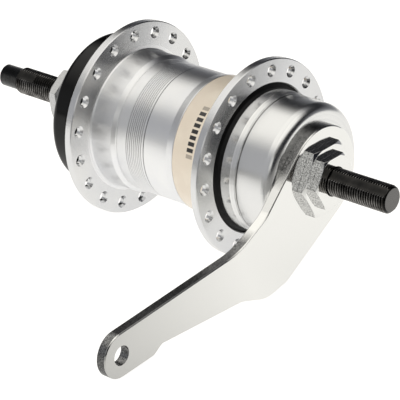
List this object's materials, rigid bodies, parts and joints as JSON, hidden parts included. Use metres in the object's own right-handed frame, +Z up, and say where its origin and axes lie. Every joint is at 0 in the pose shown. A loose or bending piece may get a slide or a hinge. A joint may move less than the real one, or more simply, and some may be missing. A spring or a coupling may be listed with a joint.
{
  "type": "bicycle hub gear",
  "caption": "Geared bicycle rear hub with coaster brake: flanged aluminium shell on a fixed threaded axle, planetary train, driver and torque arm.",
  "frame": {"origin": "on the axle's axis, midway between the outer faces of the two locknuts", "axes": "+Y along the axle towards the brake side, +X the way the brake arm points, +Z up"},
  "size_m": [0.1389, 0.1727, 0.0687],
  "materials": {
    "axle_black": "black zinc plated, rolled thread",
    "chrome": "bright chrome plated steel",
    "polished_steel": "deep drawn, polished and clear coated",
    "shell_aluminium": "turned and clear anodised",
    "black_plastic": "satin moulded",
    "seal_rubber": "matt",
    "label_film": "printed film",
    "hard_steel": "hardened, oiled",
    "ball_steel": "ground",
    "spring_steel": "drawn wire",
    "bronze": "sintered bronze"
  },
  "bodies": {
    "root": {"axle": "axle_black", "sun_gear": "hard_steel", "right_cone": "hard_steel", "right_lock_washer": "hard_steel", "right_lock_nut": "chrome", "left_cone": "hard_steel", "left_dust_cap": "polished_steel", "brake_arm": "chrome", "brake_arm_nut": "chrome", "left_lock_nut": "chrome", "shoe_spring": "spring_steel", "clutch_spring": "spring_steel"},
    "shell": {"hub_shell": "shell_aluminium", "shell_label": "label_film", "left_seal": "seal_rubber", "right_ball_cup": "hard_steel", "left_ball_cup": "hard_steel", "ratchet_ring": "hard_steel"},
    "driver": {"driver": "hard_steel", "driver_dust_cap": "black_plastic"},
    "ring": {"ring_gear": "hard_steel", "ring_pawl_springs": "spring_steel"},
    "carrier": {"planet_carrier": "hard_steel", "carrier_cover": "hard_steel", "planet_pins": "hard_steel", "carrier_pawl_springs": "spring_steel"},
    "clutch": {"clutch": "hard_steel", "clutch_washer": "hard_steel"},
    "key": {"axle_key": "hard_steel"},
    "cone_cage": {"cone_balls": "ball_steel", "cone_ball_retainer": "spring_steel"},
    "cup_cage": {"cup_balls": "ball_steel", "cup_ball_retainer": "spring_steel"},
    "brake_cage": {"brake_side_balls": "ball_steel", "brake_side_ball_retainer": "spring_steel"},
    "roller_guide": {"roller_guide": "hard_steel", "brake_rollers": "ball_steel"},
    "planet_1": {"planet_gear_1": "hard_steel"},
    "shoe_1": {"brake_shoe_1": "bronze"},
    "planet_2": {"planet_gear_2": "hard_steel"},
    "shoe_2": {"brake_shoe_2": "bronze"},
    "planet_3": {"planet_gear_3": "hard_steel"},
    "shoe_3": {"brake_shoe_3": "bronze"},
    "ring_pawl_1": {"ring_pawl_1": "hard_steel"},
    "ring_pawl_2": {"ring_pawl_2": "hard_steel"},
    "carrier_pawl_1": {"carrier_pawl_1": "hard_steel"},
    "carrier_pawl_2": {"carrier_pawl_2": "hard_steel"}
  },
  "joints": [
    {"name": "shell_spin", "type": "hinge", "parent": "root", "child": "shell", "pos_m": [0, 0, 0], "axis": [0, 1, 0], "continuous": true},
    {"name": "driver_spin", "type": "hinge", "parent": "root", "child": "driver", "pos_m": [0, 0, 0], "axis": [0, 1, 0], "continuous": true},
    {"name": "ring_spin", "type": "hinge", "parent": "root", "child": "ring", "pos_m": [0, 0, 0], "axis": [0, 1, 0], "continuous": true},
    {"name": "carrier_spin", "type": "hinge", "parent": "root", "child": "carrier", "pos_m": [0, 0, 0], "axis": [0, 1, 0], "continuous": true},
    {"name": "clutch_slide", "type": "slide", "parent": "driver", "child": "clutch", "axis": [0, 1, 0], "range_m": [0, 0.004]},
    {"name": "key_slide", "type": "slide", "parent": "root", "child": "key", "axis": [0, 1, 0], "range_m": [0, 0.004]},
    {"name": "cone_cage_spin", "type": "hinge", "parent": "root", "child": "cone_cage", "pos_m": [0, 0, 0], "axis": [0, 1, 0], "continuous": true},
    {"name": "cup_cage_spin", "type": "hinge", "parent": "root", "child": "cup_cage", "pos_m": [0, 0, 0], "axis": [0, 1, 0], "continuous": true},
    {"name": "brake_cage_spin", "type": "hinge", "parent": "root", "child": "brake_cage", "pos_m": [0, 0, 0], "axis": [0, 1, 0], "continuous": true},
    {"name": "brake_engage", "type": "hinge", "parent": "root", "child": "roller_guide", "pos_m": [0, 0, 0], "axis": [0, 1, 0], "range_deg": [-8, 0]},
    {"name": "planet_1_spin", "type": "hinge", "parent": "carrier", "child": "planet_1", "pos_m": [0, 0.002, 0.012], "axis": [0, 1, 0], "continuous": true},
    {"name": "shoe_1_slide", "type": "slide", "parent": "root", "child": "shoe_1", "axis": [0, 0, 1], "range_m": [0, 0.00035]},
    {"name": "planet_2_spin", "type": "hinge", "parent": "carrier", "child": "planet_2", "pos_m": [-0.01039, 0.002, -0.006], "axis": [0, 1, 0], "continuous": true},
    {"name": "shoe_2_slide", "type": "slide", "parent": "root", "child": "shoe_2", "axis": [-0.866, 0, -0.5], "range_m": [0, 0.00035]},
    {"name": "planet_3_spin", "type": "hinge", "parent": "carrier", "child": "planet_3", "pos_m": [0.01039, 0.002, -0.006], "axis": [0, 1, 0], "continuous": true},
    {"name": "shoe_3_slide", "type": "slide", "parent": "root", "child": "shoe_3", "axis": [0.866, 0, -0.5], "range_m": [0, 0.00035]},
    {"name": "ring_pawl_1_swing", "type": "hinge", "parent": "ring", "child": "ring_pawl_1", "pos_m": [0.01539, -0.0175, 0.00398], "axis": [0, 1, 0], "range_deg": [0, 9]},
    {"name": "ring_pawl_2_swing", "type": "hinge", "parent": "ring", "child": "ring_pawl_2", "pos_m": [-0.01539, -0.0175, -0.00398], "axis": [0, 1, 0], "range_deg": [0, 9]},
    {"name": "carrier_pawl_1_swing", "type": "hinge", "parent": "carrier", "child": "carrier_pawl_1", "pos_m": [0.00897, 0.011, 0.01361], "axis": [0, 1, 0], "range_deg": [0, 9]},
    {"name": "carrier_pawl_2_swing", "type": "hinge", "parent": "carrier", "child": "carrier_pawl_2", "pos_m": [-0.00897, 0.011, -0.01361], "axis": [0, 1, 0], "range_deg": [0, 9]}
  ],
  "couplings": [
    {"joint": "ring_spin", "follows": "driver_spin", "ratio": 1},
    {"joint": "carrier_spin", "follows": "driver_spin", "ratio": 0.73333},
    {"joint": "key_slide", "follows": "clutch_slide", "ratio": 1},
    {"joint": "cone_cage_spin", "follows": "driver_spin", "ratio": 0.565},
    {"joint": "cup_cage_spin", "follows": "shell_spin", "ratio": 0.53},
    {"joint": "brake_cage_spin", "follows": "shell_spin", "ratio": 0.54},
    {"joint": "planet_1_spin", "follows": "driver_spin", "ratio": 0.8381},
    {"joint": "shoe_1_slide", "follows": "brake_engage", "m_per_rad": -0.0025042},
    {"joint": "planet_2_spin", "follows": "driver_spin", "ratio": 0.8381},
    {"joint": "shoe_2_slide", "follows": "brake_engage", "m_per_rad": -0.0025042},
    {"joint": "planet_3_spin", "follows": "driver_spin", "ratio": 0.8381},
    {"joint": "shoe_3_slide", "follows": "brake_engage", "m_per_rad": -0.0025042}
  ]
}
